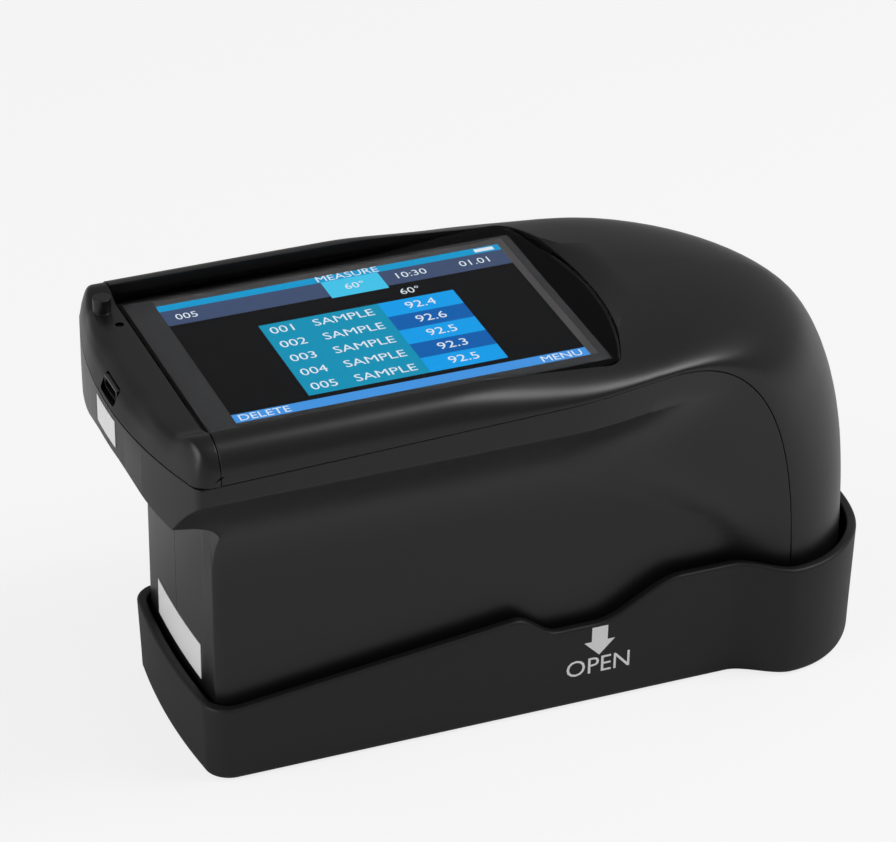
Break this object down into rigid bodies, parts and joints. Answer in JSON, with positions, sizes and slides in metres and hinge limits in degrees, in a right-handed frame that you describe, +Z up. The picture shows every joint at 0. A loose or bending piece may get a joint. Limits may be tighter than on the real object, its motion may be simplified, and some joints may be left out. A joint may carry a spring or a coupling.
{
  "type": "gloss meter",
  "caption": "Hand-held gloss meter with a colour screen and rounded nose, seated in a shallow base holder that carries its calibration tile",
  "frame": {"origin": "on the table, under the middle of the overall length and width", "axes": "+X towards the rounded nose, +Y towards the left side, which carries the measuring button, +Z up"},
  "size_m": [0.1598, 0.0746, 0.0854],
  "materials": {
    "holder_plastic": "matte, fine moulded texture",
    "shell_plastic": "satin black, very fine texture",
    "button_plastic": "satin",
    "window_glass": "polished, with a dark grey border printed behind",
    "screen": "lit colour screen",
    "foam": "closed-cell foam",
    "tile_glass": "polished black glass",
    "frame_plastic": "moulded",
    "strap_rubber": "matt",
    "ring_plastic": "matt black",
    "steel": "plated",
    "aluminium": "fine milled",
    "lens_glass": "polished",
    "lamp": "clear moulded",
    "sensor": "moulded, dark window",
    "board": "green solder resist on glass-fibre laminate",
    "switch_plastic": "moulded",
    "flex_film": "amber film",
    "battery_wrap": "shrunk film",
    "label_film": "white printed film, left blank"
  },
  "bodies": {
    "holder": {"holder_shell": "holder_plastic", "tile_pad": "foam", "calibration_tile": "tile_glass", "tile_frame": "frame_plastic", "tile_frame_screws": "steel"},
    "meter": {"upper_shell": "shell_plastic", "rear_cap": "shell_plastic", "left_shell": "shell_plastic", "right_shell": "shell_plastic", "base_plate": "aluminium", "opening_ring": "ring_plastic", "display_lens": "window_glass", "display_seal": "foam", "lcd_module": "screen", "display_frame": "frame_plastic", "display_frame_screws": "steel", "display_flex": "flex_film", "main_board": "board", "main_board_screws": "steel", "buzzer": "ring_plastic", "io_board": "board", "usb_socket": "steel", "power_switch": "switch_plastic", "status_led": "lamp", "measure_board": "board", "measure_switch": "switch_plastic", "measure_board_screws": "steel", "battery": "battery_wrap", "battery_tray": "frame_plastic", "battery_strap": "strap_rubber", "battery_tray_screws": "steel", "optical_block": "aluminium", "light_source": "lamp", "source_slit": "aluminium", "source_lens": "lens_glass", "receiver_lens": "lens_glass", "receiver_slit": "aluminium", "detector": "sensor", "source_board": "board", "detector_board": "board", "optics_board_screws": "steel", "optical_block_screws": "steel", "base_plate_screws": "steel", "shell_screws": "steel", "top_screws": "steel", "cap_screws": "steel", "rear_label": "label_film", "lower_label": "label_film"},
    "power_button": {"power_button": "button_plastic"},
    "measure_button": {"measure_button": "button_plastic"}
  },
  "joints": [
    {"name": "meter_lift", "type": "slide", "parent": "holder", "child": "meter", "axis": [0, 0, 1], "range_m": [0, 0.04]},
    {"name": "power_button_press", "type": "slide", "parent": "meter", "child": "power_button", "axis": [0, 0, -1], "range_m": [0, 0.0004], "stiffness_N_per_m": 300, "springref_m": -0.0005},
    {"name": "measure_button_press", "type": "slide", "parent": "meter", "child": "measure_button", "axis": [0, -1, 0], "range_m": [0, 0.0006], "stiffness_N_per_m": 400, "springref_m": -0.001}
  ]
}
